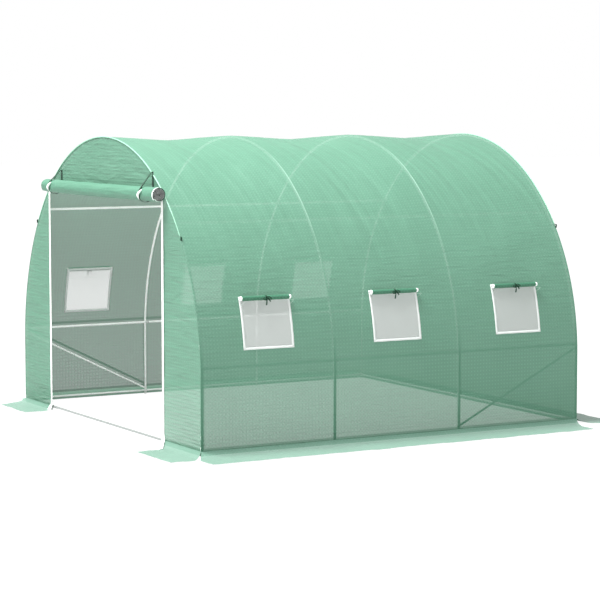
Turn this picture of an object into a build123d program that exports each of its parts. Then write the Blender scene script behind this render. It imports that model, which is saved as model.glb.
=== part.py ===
from build123d import *
import os
from math import asin, atan2, cos, degrees, radians, sin

os.makedirs("parts", exist_ok=True)

# Axes: X across the tunnel, Y from the door end to the closed end, Z up from the ground.
# All sizes are millimetres.

# Frame of round tube
half_width = 1479.5  # middle of the tunnel to the centre line of a leg
frame_length = 2993.0  # first hoop to last hoop
leg_height = 495.0  # straight part of a hoop
crown_height = 2042.5  # centre line at the top of a hoop
side_bend_radius = 1584.5  # the slower bend from the leg to the shoulder
tube_radius = 8.0
brace_radius = 6.5
tube_sides = 8  # a bar of few sides stands for each round tube
base_rail_height = 28.0
mid_rail_height = 571.0
purlin_angle = 39.7  # where the upper rail meets a hoop, round the side bend
brace_top_height = 535.0
brace_foot_height = 52.0
touch_gap = 0.3  # between round tubes that lie on each other

# Cover sheet
sheet = 2.0
cover_inside = tube_radius + touch_gap
cover_outside = cover_inside + sheet
split_angle = 23.0  # the roof sheet starts here, round the side bend
dip_side_radius = 1475.5  # tighter than the hoop's, so the sheet dips 31 at the crown
side_strips = 5  # flat strips that follow each bend of the roof sheet
top_strips = 14

# Doorway and rolled door
door_left = -985.0
door_right = 915.0
door_top = 1700.0
roll_left = -948.0
roll_right = 1000.0
roll_height = 1684.0
roll_radius = 52.0
roll_sheet = 4.0
roll_pitch = 9.0
roll_half_turns = 6
door_hem = 24.0
strap_width = 14.0
strap_sheet = 2.0
strap_loop_radius = 3.0
strap_sides = 16  # straight runs of webbing round the roll
strap_places = ((-751.0, 1798.0), (790.0, 1827.0))  # across, and height of the top

# Windows
window_low = 675.0
window_high = 1022.0
window_width = 384.0
net_sheet = 1.9
tape_sheet = 1.0
tape_outside = 12.0  # how far the tape reaches past the opening
tape_inside = 8.0
window_roll_radius = 14.0
window_roll_length = 408.0
window_roll_sides = 12

# Skirt flaps on the ground
apron_height = 34.0  # the apron leaves the wall here
apron_reach = 60.0  # and reaches the ground this far out
skirt_x = 1828.0  # outer edge of the side flaps
skirt_y = 1793.0  # outer edge of the end flaps
skirt_run = 4000.0  # longer than any flap, before it is cut to its outline
side_cut_x = 1650.0  # the side flaps' ends slant from the wall to here, and run square from here
side_cut_y = 1440.0
end_cut_x = 1591.0  # and the back flap's ends to here
end_cut_y = 1625.0
right_front_y = 1593.0  # front end of the right flap
skirt_taper = 28.0  # the side flaps are a little narrower at one end
front_cut_x = 1628.0  # the front right flap's outer corner
front_cut_y = 1620.0
beside_door_x = 1115.0  # and its edge beside the doorway
left_flap_x = 1425.0  # the front left flap's outer corner
left_flap_y = 1740.0
left_flap_end_x = 931.0  # and its edge beside the doorway

# The arch: a side bend and a top bend, tangent where they join.
bay_length = frame_length / 3
first_hoop = -frame_length / 2
side_centre_x = half_width - side_bend_radius
rise = crown_height - leg_height
top_bend_radius = (side_bend_radius**2 - side_centre_x**2 - rise**2) / (2 * (side_bend_radius - rise))
top_centre = crown_height - top_bend_radius
join_angle = degrees(atan2(top_centre - leg_height, -side_centre_x))

# Half way between two hoops the roof sheet dips. It leaves the side bend along the same
# tangent, and its two bends join at the same angle as a hoop's do.
split_x = side_centre_x + side_bend_radius * cos(radians(split_angle))
split_z = leg_height + side_bend_radius * sin(radians(split_angle))
dip_side_x = split_x - dip_side_radius * cos(radians(split_angle))
dip_side_z = split_z - dip_side_radius * sin(radians(split_angle))
dip_step = -dip_side_x / cos(radians(join_angle))
dip_top_z = dip_side_z + dip_step * sin(radians(join_angle))
dip_top_radius = dip_side_radius - dip_step

wall_x = half_width + cover_outside  # outer face of a long side
wall_y = frame_length / 2 + cover_outside  # outer face of an end
side_cover_end = frame_length / 2 + cover_inside


def keep(part, name):
    part.label = name
    export_step(part, f"parts/{name}.step")


def across(y):
    """The plane square to the tunnel at a distance along it; its own up is Z."""
    return Plane.XZ.offset(-y)


def arch_line(offset):
    """The open line of a hoop from the right foot to the left, in the sketch plane in use."""
    side = side_bend_radius + offset
    top = top_bend_radius + offset
    leg_x = half_width + offset
    Line((leg_x, 0), (leg_x, leg_height))
    CenterArc((side_centre_x, leg_height), side, 0, join_angle)
    CenterArc((0, top_centre), top, join_angle, 180 - 2 * join_angle)
    CenterArc((-side_centre_x, leg_height), side, 180 - join_angle, join_angle)
    Line((-leg_x, leg_height), (-leg_x, 0))


def strip_corners(centre, radius, start, turn, strips):
    """Corners of the flat strips that wrap an arc from outside, each strip touching it once."""
    step = turn / strips
    reach = radius / cos(radians(step / 2))
    angles = [radians(start + (index + 0.5) * step) for index in range(strips)]
    return [(centre[0] + reach * cos(a), centre[1] + reach * sin(a)) for a in angles]


def roof_line(offset, side_x, side_z, side_radius, top_z, top_radius):
    """Points over the arch from the right split line to the left one."""
    bend = join_angle - split_angle
    side = side_radius + offset
    end_x = side_x + side * cos(radians(split_angle))
    end_z = side_z + side * sin(radians(split_angle))
    points = [(end_x, end_z)]
    points += strip_corners((side_x, side_z), side, split_angle, bend, side_strips)
    points += strip_corners((0, top_z), top_radius + offset, join_angle, 180 - 2 * join_angle, top_strips)
    points += strip_corners((-side_x, side_z), side, 180 - join_angle, bend, side_strips)
    return points + [(-end_x, end_z)]


def side_arc(side, offset, low, high):
    """A stretch of the side bend between two heights, on the right (1) or left (-1)."""
    radius = side_bend_radius + offset
    start = degrees(asin((low - leg_height) / radius))
    turn = degrees(asin((high - leg_height) / radius)) - start
    if side > 0:
        return CenterArc((side_centre_x, leg_height), radius, start, turn)
    return CenterArc((-side_centre_x, leg_height), radius, 180 - start, -turn)


def side_band(side, inside, outside, low, high):
    """A face with level ends between two offsets of the side bend."""
    inner = side_arc(side, inside, low, high)
    outer = side_arc(side, outside, low, high)
    Line(inner @ 0, outer @ 0)
    Line(inner @ 1, outer @ 1)


# Hoops: each is one tube bent to the arch, standing on two straight legs
for index, hoop_name in enumerate(("front_hoop", "second_hoop", "third_hoop", "back_hoop")):
    hoop_y = first_hoop + index * bay_length
    with BuildPart() as hoop:
        with BuildLine(across(hoop_y)):
            arch_line(0)
        with BuildSketch(Plane(origin=(half_width, hoop_y, 0))):
            RegularPolygon(tube_radius, tube_sides)
        sweep()
    keep(hoop.part, hoop_name)

# Rails of the long sides: the base rail stands between the legs, the others pass inside the hoops
inside_hoop = 2 * tube_radius + touch_gap
rail_reach = side_bend_radius - inside_hoop
mid_rail_x = side_centre_x + rail_reach * cos(asin((mid_rail_height - leg_height) / rail_reach))
purlin_x = side_centre_x + rail_reach * cos(radians(purlin_angle))
purlin_z = leg_height + rail_reach * sin(radians(purlin_angle))
brace_x = half_width - tube_radius - touch_gap - brace_radius

for side, side_name in ((1, "right"), (-1, "left")):
    with BuildPart() as base_rail:
        for index in range(3):
            with BuildSketch(across(first_hoop + (index + 1) * bay_length - tube_radius)):
                with Locations((side * half_width, base_rail_height)):
                    RegularPolygon(tube_radius, tube_sides)
            extrude(amount=bay_length - 2 * tube_radius)
    keep(base_rail.part, f"{side_name}_base_rail")

    with BuildPart() as mid_rail:
        with BuildSketch(across(frame_length / 2 + tube_radius)):
            with Locations((side * mid_rail_x, mid_rail_height)):
                RegularPolygon(tube_radius, tube_sides)
        extrude(amount=frame_length + 2 * tube_radius)
    keep(mid_rail.part, f"{side_name}_mid_rail")

    with BuildPart() as purlin:
        with BuildSketch(across(frame_length / 2 + tube_radius)):
            with Locations((side * purlin_x, purlin_z)):
                RegularPolygon(tube_radius, tube_sides)
        extrude(amount=frame_length + 2 * tube_radius)
    keep(purlin.part, f"{side_name}_purlin")

# Rails of the two ends, from leg to leg on the ground
for end, end_name in ((-1, "door_sill_rail"), (1, "back_base_rail")):
    rail_half = half_width - tube_radius
    with BuildPart() as end_rail:
        with BuildSketch(Plane.YZ.offset(-rail_half)):
            with Locations((end * frame_length / 2, base_rail_height)):
                RegularPolygon(tube_radius, tube_sides)
        extrude(amount=2 * rail_half)
    keep(end_rail.part, end_name)

# Braces: one on each long side, from the mid rail at the end hoop to the next hoop's foot
for side, end, brace_name in ((-1, -1, "left_front_brace"), (1, 1, "right_back_brace")):
    top = Vector(side * brace_x, end * (frame_length / 2 - tube_radius), brace_top_height)
    foot = Vector(side * brace_x, end * (bay_length / 2 + 2 * tube_radius), brace_foot_height)
    with BuildPart() as brace:
        with BuildSketch(Plane(origin=foot, z_dir=top - foot)):
            RegularPolygon(brace_radius, tube_sides)
        extrude(amount=(top - foot).length)
    keep(brace.part, brace_name)

# Cover of each bay: a dipping roof sheet and two side sheets with a window cut through
for index, bay_name in enumerate(("front", "middle", "back")):
    bay_start = first_hoop + index * bay_length
    bay_end = bay_start + bay_length
    bay_middle = bay_start + bay_length / 2
    sheet_start = -side_cover_end if index == 0 else bay_start
    sheet_end = side_cover_end if index == 2 else bay_end

    over_hoop = (side_centre_x, leg_height, side_bend_radius, top_centre, top_bend_radius)
    between_hoops = (dip_side_x, dip_side_z, dip_side_radius, dip_top_z, dip_top_radius)
    stations = [(bay_start, over_hoop), (bay_middle, between_hoops), (bay_end, over_hoop)]
    if sheet_start < bay_start:
        stations.insert(0, (sheet_start, over_hoop))
    if sheet_end > bay_end:
        stations.append((sheet_end, over_hoop))
    with BuildPart() as roof:
        for station_y, shape in stations:
            with BuildSketch(across(station_y)):
                with BuildLine():
                    over = roof_line(cover_outside, *shape)
                    under = roof_line(cover_inside, *shape)
                    Polyline(*over, *reversed(under), close=True)
                make_face()
        loft(ruled=True)
    keep(roof.part, f"{bay_name}_bay_roof")

    for side, side_name in ((1, "right"), (-1, "left")):
        split_heights = [
            leg_height + (side_bend_radius + offset) * sin(radians(split_angle))
            for offset in (cover_inside, cover_outside)
        ]
        with BuildPart() as side_cover:
            with BuildSketch(across(sheet_end)):
                with BuildLine():
                    inner = side_arc(side, cover_inside, leg_height, split_heights[0])
                    outer = side_arc(side, cover_outside, leg_height, split_heights[1])
                    Line(inner @ 1, outer @ 1)
                    Polyline(
                        inner @ 0,
                        (side * (half_width + cover_inside), 0),
                        (side * wall_x, 0),
                        outer @ 0,
                    )
                make_face()
            extrude(amount=sheet_end - sheet_start)
            with BuildSketch(across(bay_middle + window_width / 2)):
                with BuildLine():
                    side_band(side, cover_inside - sheet, cover_outside + sheet, window_low, window_high)
                make_face()
            extrude(amount=window_width, mode=Mode.SUBTRACT)
        keep(side_cover.part, f"{side_name}_side_{bay_name}_bay")

        # The net fills the window, and its tape lies over the cover's cut edge
        net_outside = cover_outside + touch_gap
        with BuildPart() as net:
            with BuildSketch(across(bay_middle + window_width / 2 + tape_outside)):
                with BuildLine():
                    side_band(
                        side,
                        net_outside,
                        net_outside + tape_sheet,
                        window_low - tape_outside,
                        window_high + tape_outside,
                    )
                make_face()
            extrude(amount=window_width + 2 * tape_outside)
            with BuildSketch(across(bay_middle + window_width / 2 - tape_inside)):
                with BuildLine():
                    side_band(
                        side,
                        cover_inside,
                        cover_outside + 2 * tape_sheet,
                        window_low + tape_inside,
                        window_high - tape_inside,
                    )
                make_face()
            extrude(amount=window_width - 2 * tape_inside, mode=Mode.SUBTRACT)
            with BuildSketch(across(bay_middle + window_width / 2)):
                with BuildLine():
                    side_band(side, net_outside - net_sheet, net_outside, window_low, window_high)
                make_face()
            extrude(amount=window_width)
        keep(net.part, f"{side_name}_{bay_name}_window_net")

        # The window's flap, rolled up over the top of the tape
        roll_reach = side_bend_radius + net_outside + tape_sheet + touch_gap + window_roll_radius
        roll_angle = asin((window_high - leg_height) / roll_reach)
        with BuildPart() as window_roll:
            with BuildSketch(across(bay_middle + window_roll_length / 2)):
                with Locations(
                    (
                        side * (side_centre_x + roll_reach * cos(roll_angle)),
                        leg_height + roll_reach * sin(roll_angle),
                    )
                ):
                    RegularPolygon(window_roll_radius, window_roll_sides)
            extrude(amount=window_roll_length)
        keep(window_roll.part, f"{side_name}_{bay_name}_window_roll")


# End walls: the arch's outline, whole at the back and parted beside and over the doorway in front
def end_wall(y, centre_x, width, low, high):
    with BuildPart() as wall:
        with BuildSketch(across(y)):
            with BuildLine():
                arch_line(cover_outside)
                Line((-wall_x, 0), (wall_x, 0))
            make_face()
            with Locations((centre_x, (low + high) / 2)):
                Rectangle(width, high - low, mode=Mode.INTERSECT)
        extrude(amount=sheet)
    return wall.part


wall_top = crown_height + cover_outside
front_face = -side_cover_end
keep(end_wall(wall_y, 0, 2 * wall_x, 0, wall_top), "back_wall")
left_width = door_left + wall_x
right_width = wall_x - door_right
left_middle = door_left - left_width / 2
right_middle = door_right + right_width / 2
keep(end_wall(front_face, left_middle, left_width, 0, door_top), "front_left_panel")
keep(end_wall(front_face, right_middle, right_width, 0, door_top), "front_right_panel")
keep(end_wall(front_face, 0, 2 * wall_x, door_top, wall_top), "front_top_panel")

# Rolled door: a spiral of sheet whose last turn runs up to the hem over the doorway
roll_y = -wall_y - strap_sheet - 2 * touch_gap - roll_radius
last_radius = roll_radius - roll_sheet
with BuildPart() as rolled_door:
    with BuildSketch(Plane.YZ.offset(roll_left)):
        with BuildLine():
            turn_ends = []
            for half_turn in range(roll_half_turns):
                radius = last_radius - half_turn * roll_pitch / 2
                shift = (half_turn % 2) * roll_pitch / 2
                begin = 180 if half_turn % 2 == 0 else 0
                arcs = [
                    CenterArc((roll_y - shift, roll_height), radius + depth, begin, 180)
                    for depth in (0, roll_sheet)
                ]
                turn_ends.append(arcs)
            Line(turn_ends[0][0] @ 1, turn_ends[0][1] @ 1)
            Line(turn_ends[-1][0] @ 0, turn_ends[-1][1] @ 0)
        make_face()
    extrude(amount=roll_right - roll_left)
    hem_start = strap_places[0][0] + strap_width
    hem_end = strap_places[1][0] - strap_width
    hem_top = door_top + door_hem
    with BuildSketch(Plane.YZ.offset(hem_start)):
        with BuildLine():
            Polyline(
                (roll_y + last_radius, roll_height),
                (roll_y + roll_radius, roll_height),
                (roll_y + roll_radius, door_top),
                (-wall_y, door_top),
                (-wall_y, hem_top),
                (roll_y + last_radius, hem_top),
                close=True,
            )
        make_face()
    extrude(amount=hem_end - hem_start)
keep(rolled_door.part, "rolled_door")

# Straps: webbing loops from the edge of the arch, down round the roll and back
with BuildPart() as straps:
    for strap_x, strap_top in strap_places:
        loop_y = -wall_y - strap_loop_radius - strap_sheet
        shapes = []
        for depth in (strap_sheet, 0):
            with BuildSketch(Plane.YZ.offset(strap_x - strap_width / 2)) as loop:
                for place, reach in (
                    ((roll_y, roll_height), roll_radius + touch_gap),
                    ((loop_y, strap_top), strap_loop_radius),
                ):
                    with Locations(place):
                        RegularPolygon(
                            reach + depth, strap_sides, major_radius=False, rotation=180 / strap_sides
                        )
                make_hull()
            shapes.append(loop.sketch)
        extrude(shapes[0], amount=strap_width)
        extrude(shapes[1], amount=strap_width, mode=Mode.SUBTRACT)
keep(straps.part, "door_straps")


# Skirt flaps: an apron from the wall's foot down to the ground, then flat, cut to a plan outline
def skirt(profile_plane, outward, wall, outer, run, outline):
    with BuildPart() as flap:
        with BuildSketch(profile_plane):
            with BuildLine():
                Polyline(
                    (outward * wall, apron_height),
                    (outward * (wall + apron_reach), sheet),
                    (outward * outer, sheet),
                    (outward * outer, 0),
                    (outward * (wall + apron_reach), 0),
                    (outward * wall, apron_height - sheet),
                    close=True,
                )
            make_face()
        extrude(amount=run / 2, both=True)
        with BuildSketch(Plane.XY):
            with BuildLine():
                Polyline(*outline, close=True)
            make_face()
        extrude(amount=apron_height, mode=Mode.INTERSECT)
    return flap.part


# Outlines in plan
right_skirt_outline = (
    (wall_x, -wall_y),
    (side_cut_x, -right_front_y),
    (skirt_x, -right_front_y),
    (skirt_x - skirt_taper, side_cut_y),
    (side_cut_x, side_cut_y),
    (wall_x, wall_y),
)
left_skirt_outline = (
    (-wall_x, -wall_y),
    (-side_cut_x, -wall_y),
    (-skirt_x, side_cut_y - skirt_taper),
    (-side_cut_x, side_cut_y),
    (-wall_x, wall_y),
)
back_skirt_outline = (
    (wall_x, wall_y),
    (end_cut_x, end_cut_y),
    (end_cut_x, skirt_y),
    (-end_cut_x, skirt_y),
    (-end_cut_x, end_cut_y),
    (-wall_x, wall_y),
)
front_right_outline = (
    (door_right, -wall_y),
    (beside_door_x, -front_cut_y),
    (beside_door_x, -skirt_y),
    (front_cut_x, -skirt_y),
    (front_cut_x, -front_cut_y),
    (wall_x, -wall_y),
)
front_left_outline = (
    (-wall_x, -wall_y),
    (-wall_x, -wall_y - apron_reach),
    (-left_flap_x, -left_flap_y),
    (-left_flap_end_x, -left_flap_y),
    (-left_flap_end_x, -wall_y - apron_reach),
    (door_left, -wall_y),
)
keep(skirt(Plane.XZ, 1, wall_x, skirt_x, skirt_run, right_skirt_outline), "right_skirt")
keep(skirt(Plane.XZ, -1, wall_x, skirt_x, skirt_run, left_skirt_outline), "left_skirt")
keep(skirt(Plane.YZ, 1, wall_y, skirt_y, skirt_run, back_skirt_outline), "back_skirt")
keep(skirt(Plane.YZ, -1, wall_y, skirt_y, skirt_run, front_right_outline), "front_right_skirt")
keep(skirt(Plane.YZ, -1, wall_y, skirt_y, skirt_run, front_left_outline), "front_left_skirt")
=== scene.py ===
"""Looks of the polytunnel greenhouse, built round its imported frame. Metres, Z up."""

from math import acos, asin, atan2, ceil, cos, pi, radians, sin, sqrt

import bmesh
import bpy
import numpy as np
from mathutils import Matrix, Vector, noise


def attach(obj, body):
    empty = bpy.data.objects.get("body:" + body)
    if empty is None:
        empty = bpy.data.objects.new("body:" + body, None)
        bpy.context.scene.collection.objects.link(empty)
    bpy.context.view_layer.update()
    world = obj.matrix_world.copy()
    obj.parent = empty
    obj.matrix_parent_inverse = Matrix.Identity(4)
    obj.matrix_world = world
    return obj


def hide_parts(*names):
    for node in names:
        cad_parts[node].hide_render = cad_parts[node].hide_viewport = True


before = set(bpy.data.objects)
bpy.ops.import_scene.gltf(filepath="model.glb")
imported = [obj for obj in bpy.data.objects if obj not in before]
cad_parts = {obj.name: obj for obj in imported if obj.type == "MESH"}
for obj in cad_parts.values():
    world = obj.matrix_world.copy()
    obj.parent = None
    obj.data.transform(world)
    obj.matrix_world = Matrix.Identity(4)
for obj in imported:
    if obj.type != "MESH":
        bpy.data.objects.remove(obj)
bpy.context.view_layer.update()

# Sizes that repeat the part's, in metres
BAYS = ("front", "middle", "back")
SIDES = ((1, "right"), (-1, "left"))
HALF_WIDTH = 1.4795
FRAME_LENGTH = 2.993
BAY = FRAME_LENGTH / len(BAYS)
LEG = 0.495
CROWN = 2.0425
SIDE_BEND = 1.5845
DIP_SIDE_BEND = 1.4755  # the same bend half way between two hoops
SPLIT_ANGLE = radians(23.0)  # above this the sheet dips between hoops
TUBE = 0.008
COVER = 0.0103  # from a hoop's centre line to the outer face of the sheet
DOOR_LEFT, DOOR_RIGHT, DOOR_TOP = -0.970, 0.930, 1.700
ROLL_LEFT, ROLL_RIGHT, ROLL_HEIGHT, ROLL_RADIUS = -0.948, 1.000, 1.684, 0.052
WINDOW_LOW, WINDOW_HIGH, WINDOW_HALF = 0.684, 1.014, 0.183
BASE_RAIL_HEIGHT = 0.028
MID_RAIL_HEIGHT = 0.571
PURLIN_ANGLE = radians(39.7)
STRAPS = ((-0.751, 1.798), (0.790, 1.827))  # across, and height of the top

# The arch: a side bend and a top bend that meet at one tangent
side_x = HALF_WIDTH - SIDE_BEND
rise = CROWN - LEG
top_bend = (SIDE_BEND**2 - side_x**2 - rise**2) / (2 * (SIDE_BEND - rise))
top_centre = CROWN - top_bend
JOIN = atan2(top_centre - LEG, -side_x)
dip_x = side_x + (SIDE_BEND - DIP_SIDE_BEND) * cos(SPLIT_ANGLE)
dip_z = LEG + (SIDE_BEND - DIP_SIDE_BEND) * sin(SPLIT_ANGLE)
dip_step = -dip_x / cos(JOIN)
dip_top = dip_z + dip_step * sin(JOIN)
dip_bend = DIP_SIDE_BEND - dip_step
WALL_X = HALF_WIDTH + COVER
WALL_Y = FRAME_LENGTH / 2 + COVER
HALF_SHEET = LEG + SIDE_BEND * JOIN + top_bend * (pi / 2 - JOIN)  # along the cover from its edge to the ridge
DIP_ROUNDING = 0.02


# Small tools
def smoothstep(low, high, value):
    """0 at low and 1 at high, with soft ends. Low may be the larger of the two."""
    t = np.clip((value - low) / (high - low), 0.0, 1.0)
    return t * t * (3 - 2 * t)


def on_arch(angle, offset, dipped=False):
    """Point and outward direction at an angle round the bends: 0 at the right leg's top, pi at the left's."""
    turned = angle > pi / 2
    a = pi - angle if turned else angle
    if dipped:
        sx, sz, side, tz, top = dip_x, dip_z, DIP_SIDE_BEND, dip_top, dip_bend
    else:
        sx, sz, side, tz, top = side_x, LEG, SIDE_BEND, top_centre, top_bend
    if a < JOIN:
        x, z = sx + (side + offset) * cos(a), sz + (side + offset) * sin(a)
    else:
        x, z = (top + offset) * cos(a), tz + (top + offset) * sin(a)
    nx, nz = cos(a), sin(a)
    return (-x, z, -nx, nz) if turned else (x, z, nx, nz)


def angle_at_height(z, offset):
    """Angle round the right side bend at a height."""
    return asin((z - LEG) / (SIDE_BEND + offset))


def angle_at_width(x, offset):
    """Angle round the right side bend at a distance from the middle."""
    return acos((x - side_x) / (SIDE_BEND + offset))


def dip_at(y):
    """0 at a hoop and 1 half way between two hoops, with nearly straight sides."""
    t = (y + FRAME_LENGTH / 2) / BAY
    if t <= 0 or t >= len(BAYS):
        return 0.0
    away = 1 - abs(2 * (t % 1) - 1)
    return away - DIP_ROUNDING * sin(2 * pi * away)


def snapped(low, high, step, exact=()):
    """Evenly spaced values from low to high, moved to pass through exact ones."""
    values = np.linspace(low, high, max(2, int(ceil((high - low) / step)) + 1))
    for e in exact:
        values[1 + np.argmin(abs(values[1:-1] - e))] = e
    return np.sort(values)


def link_object(name, data):
    """An object at the origin, in the scene."""
    piece = bpy.data.objects.new(name, data)
    bpy.context.scene.collection.objects.link(piece)
    return piece


def link_mesh(name, points, faces, material, uv=None, smooth=True):
    """A mesh object at the origin. uv is one (u, v) in metres for each point."""
    mesh = bpy.data.meshes.new(name)
    mesh.from_pydata([tuple(p) for p in points], [], faces)
    if uv is not None:
        layer = mesh.uv_layers.new(name="cloth")
        loops = np.zeros(len(mesh.loops), np.int32)
        mesh.loops.foreach_get("vertex_index", loops)
        layer.data.foreach_set("uv", np.asarray(uv, np.float32)[loops].ravel())
    mesh.polygons.foreach_set("use_smooth", [smooth] * len(mesh.polygons))
    mesh.materials.append(material)
    mesh.update()
    return link_object(name, mesh)


def grid_faces(rows, columns, skip=None, start=0, flip=False, wrap=False):
    """Quads of a grid of points stored row by row."""
    faces = []
    last = columns if wrap else columns - 1
    for i in range(rows - 1):
        for j in range(last):
            if skip is not None and skip(i, j):
                continue
            k = (j + 1) % columns
            a, b = start + i * columns + j, start + i * columns + k
            c, d = start + (i + 1) * columns + k, start + (i + 1) * columns + j
            faces.append((a, d, c, b) if flip else (a, b, c, d))
    return faces


def drop_loose(piece):
    """Takes out the points that no face uses."""
    shape = bmesh.new()
    shape.from_mesh(piece.data)
    loose = [v for v in shape.verts if not v.link_faces]
    bmesh.ops.delete(shape, geom=loose, context="VERTS")
    shape.to_mesh(piece.data)
    shape.free()


def as_plain_mesh(piece):
    """Makes what a piece's modifiers give its own mesh."""
    evaluated = piece.evaluated_get(bpy.context.evaluated_depsgraph_get())
    mesh = bpy.data.meshes.new_from_object(evaluated)
    piece.modifiers.clear()
    piece.data = mesh
    return piece


def thicken(piece, thickness, inner_finish=0, rim_finish=0):
    """Gives a sheet its thickness, half to each side. The finish of its inner face and of its rim is given
    as a step from the outer face's."""
    solid = piece.modifiers.new("thickness", "SOLIDIFY")
    solid.thickness = thickness
    solid.offset = 0.0
    solid.use_even_offset = True
    solid.material_offset = inner_finish
    solid.material_offset_rim = rim_finish
    return as_plain_mesh(piece)


def place(piece, slot, *nodes):
    """The piece rides on the part's one body and stands for CAD nodes. The slot is not used."""
    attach(piece, "root")
    if nodes:
        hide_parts(*nodes)


# Materials
MATH = "ShaderNodeMath"
RANGE = "ShaderNodeMapRange"
MIX = "ShaderNodeMix"
NOISE = "ShaderNodeTexNoise"
BUMP = "ShaderNodeBump"
PLACE = "ShaderNodeTexCoord"
CLOTH = "ShaderNodeUVMap"
SKIN = "ShaderNodeBsdfPrincipled"
BLEND = "ShaderNodeMixShader"
OUTPUT = "ShaderNodeOutputMaterial"


def colour(code):
    """An sRGB hex code as linear light."""
    parts = [int(code[i : i + 2], 16) / 255 for i in (1, 3, 5)]
    linear = [c / 12.92 if c <= 0.04045 else ((c + 0.055) / 1.055) ** 2.4 for c in parts]
    return (*linear, 1.0)


def add(tree, kind, *sources, **settings):
    """Adds a node. Sources feed its open sockets in order. A setting is the node's own, or feeds the socket
    of that name. A source is another node, one of its sockets, or a plain value."""
    node = tree.nodes.new(kind)
    own = [name for name in settings if name in node.bl_rna.properties]
    for name in own:
        setattr(node, name, settings[name])
    open_sockets = [socket for socket in node.inputs if socket.enabled]
    named = {socket.name.replace(" ", "_"): socket for socket in open_sockets}
    fed = list(zip(open_sockets, sources))
    fed += [(named[name], source) for name, source in settings.items() if name not in own]
    for socket, source in fed:
        if isinstance(source, bpy.types.Node):
            source = next(output for output in source.outputs if output.enabled)
        if isinstance(source, bpy.types.NodeSocket):
            tree.links.new(socket, source)
        else:
            socket.default_value = source
    return node


def blank(name):
    """A new material and its empty tree."""
    material = bpy.data.materials.new(name)
    material.use_nodes = True
    material.node_tree.nodes.clear()
    return material, material.node_tree


def grid_lines(tree, cloth, pitch, width):
    """1 on the lines of a square grid in a cloth's two directions, and 0 between them."""
    lines = []
    for way in add(tree, "ShaderNodeSeparateXYZ", cloth).outputs[:2]:
        cell = add(tree, MATH, way, pitch, operation="DIVIDE")
        place_in = add(tree, MATH, cell, operation="FRACT")
        off_middle = add(tree, MATH, place_in, 0.5, operation="SUBTRACT")
        from_middle = add(tree, MATH, off_middle, operation="ABSOLUTE")
        outer, inner = 0.5 - width / pitch, 0.5 - 0.3 * width / pitch
        lines.append(add(tree, RANGE, from_middle, outer, inner, interpolation_type="SMOOTHSTEP"))
    return lines


# The film's grid, and its marks: hems and folding, painted shadows of the tubes behind it, a painted
# highlight along the hoops and painted light inside its foot
GRID_PITCH = 0.025  # the woven grid's spacing both ways, as the photo shows it
GRID_LINE = 0.008  # from the middle of a line to the end of its soft edge
LINE_TONE, KNOT_TONE = 0.36, 0.10  # how far a line turns to the deep tone, and a knot to a pale one
LINE_RISE = 0.07  # a line's height beside the creases'
LINE_SHUT = 0.30  # how much of the light a line holds back
CLOUDS, CLOUD_TONE = 2.2, 0.55  # uneven coating in patches of 450 mm, so 2.2 to the metre
FINE_CREASES, FINE_SLANT = (5.0, 26.0, 1.0), radians(14)  # to the metre: 200 mm long and 38 mm apart
STREAK_SIZE = (1 / 13, 1 / 0.9, 1.0)  # long creases high up: 77 mm apart and 1.1 m long
STREAK_RISE = 1.9
CREASE_SLANT = radians(11.0)  # their lean along the tunnel, from straight down the sheet
CREASE_DEPTH = 0.010
HIGH_FROM, HIGH_TO = 1.75, 0.90  # from the ridge: the long creases and the hoops' painted highlight lines grow over this
RIDGE_FROM, RIDGE_TO = 0.40, 0.90  # from the ridge: the painted highlight lines start over this
HOOP_HIGHLIGHT_FROM, HOOP_HIGHLIGHT_TO = 0.0060, 0.0020  # half width of the painted highlight line along a hoop under the film
# how pale the painted highlight along a hoop is
HOOP_HIGHLIGHT_TONE = 0.42
MIDDLE_HOOPS = 1.2  # the end hoops are further from the middle than this
HEM_OUTSIDE, PAINTED_LIGHT_FOOT = 0.047, 0.030  # the folded hem's height outside, and the height of the painted light inside the foot
HEM_SHARE = 0.65
HEM_AND_SHADOW_SHUT = 0.8  # a hem's and a painted tube shadow's deeper tone, and how much of the light they hold back
SEAM_WIDTH, SEAM_HEIGHT = 0.014, 0.46  # the seam at the corner, low down
LEG_LINE, LEG_FROM, LEG_TO = 0.0095, 0.85, 0.45  # painted shadow of a leg behind the film: half width, and the heights it fades between
RAIL_LINE, RAIL_SHARE = 0.009, 0.65  # painted shadow of the mid rail: half width, and how dark
BRACE_LINE, BRACE_SHARE, BRACE_TOP = 0.0085, 0.85, 0.6  # painted shadow of a brace: the same, and the height it ends at
BRACE_FOOT, BRACE_SLOPE = 0.053, 0.496  # height at the foot, and rise along the bay
INSIDE_SHARE = 0.85  # how far the inner face turns to its own darker tone
GLOW_SHARE = 0.15  # how much of what doesn't pass straight scatters through
UNMARKED = {"hem": 0.0, "inside_foot_painted_light": 0.0, "hoop_painted_highlight": 0.0, "streaks": 0.0, "calm": 1.0}


def no_marks(tree, cloth):
    """Marks of a film without hems that lies on no tube."""
    return UNMARKED


def end_marks(tree, cloth):
    """Marks of an end sheet: its foot, folded double, and painted light on the inside of the foot."""
    height = add(tree, "ShaderNodeSeparateXYZ", cloth).outputs[1]
    foot = add(tree, MATH, height, HEM_OUTSIDE, operation="LESS_THAN")
    hem = add(tree, MATH, foot, HEM_SHARE, operation="MULTIPLY")
    inside_foot_painted_light = add(tree, MATH, height, PAINTED_LIGHT_FOOT, operation="LESS_THAN")
    return {**UNMARKED, "hem": hem, "inside_foot_painted_light": inside_foot_painted_light}


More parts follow.
